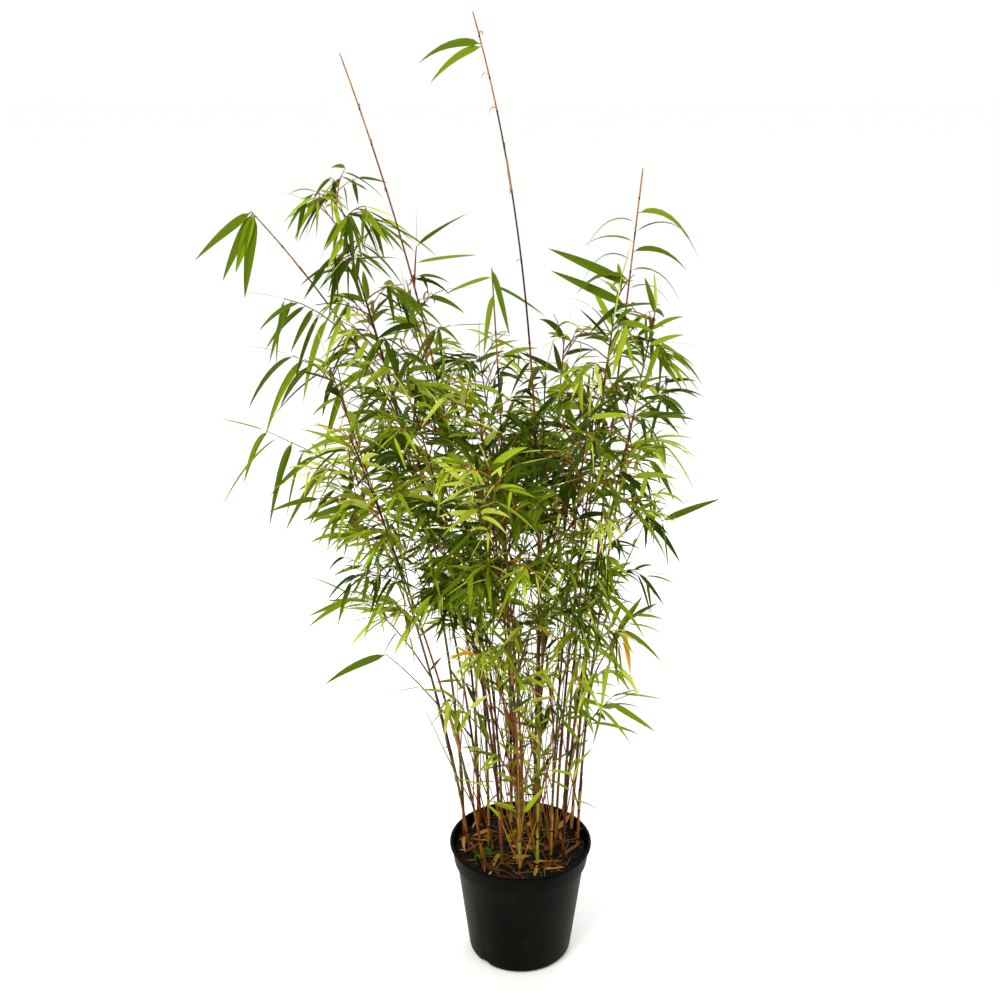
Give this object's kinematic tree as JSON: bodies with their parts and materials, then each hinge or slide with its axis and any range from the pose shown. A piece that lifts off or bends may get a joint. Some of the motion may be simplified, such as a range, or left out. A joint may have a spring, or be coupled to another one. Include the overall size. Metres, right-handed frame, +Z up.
{
  "type": "potted bamboo plant",
  "caption": "Clumping bamboo in a round black nursery pot: slender canes rise from the mix, lean outwards and carry hanging narrow leaves.",
  "frame": {"origin": "middle of the pot's flat underside, on the floor", "axes": "+Z up along the pot's axis; +X to the viewer's right and -Y towards the viewer as the plant is shown; metres"},
  "size_m": [0.7788, 0.6901, 1.4682],
  "materials": {
    "pot": "moulded black polypropylene with a soft gloss",
    "potting_mix": "damp bark and peat mix",
    "cane": "thin cane, olive to orange brown",
    "leaf": "thin papery bamboo leaf and twig"
  },
  "bodies": {
    "root": {"cane_01": "cane", "cane_02": "cane", "cane_03": "cane", "cane_04": "cane", "cane_05": "cane", "cane_06": "cane", "cane_07": "cane", "cane_08": "cane", "cane_09": "cane", "cane_10": "cane", "cane_11": "cane", "cane_12": "cane", "cane_13": "cane", "cane_14": "cane", "cane_15": "cane", "cane_16": "cane", "cane_17": "cane", "cane_18": "cane", "cane_19": "cane", "cane_20": "cane", "cane_21": "cane", "cane_22": "cane", "foliage_02": "leaf", "foliage_03": "leaf", "foliage_04": "leaf", "foliage_05": "leaf", "foliage_06": "leaf", "foliage_07": "leaf", "foliage_08": "leaf", "foliage_09": "leaf", "foliage_10": "leaf", "foliage_11": "leaf", "foliage_12": "leaf", "foliage_13": "leaf", "foliage_14": "leaf", "foliage_15": "leaf", "foliage_16": "leaf", "foliage_17": "leaf", "foliage_18": "leaf", "foliage_19": "leaf", "foliage_20": "leaf", "foliage_21": "leaf", "foliage_22": "leaf", "pot": "pot", "potting_mix": "potting_mix", "spray_back_left": "leaf", "spray_back_low": "leaf", "spray_front_high": "leaf", "spray_front_left": "leaf", "spray_front_low": "leaf", "spray_front_middle": "leaf", "spray_front_right": "leaf", "spray_leader_left": "leaf", "spray_left_high": "leaf", "spray_left_low": "leaf", "spray_left_lower": "leaf", "spray_left_middle": "leaf", "spray_left_upper": "leaf", "spray_right_low": "leaf", "spray_right_lower": "leaf"}
  },
  "joints": []
}
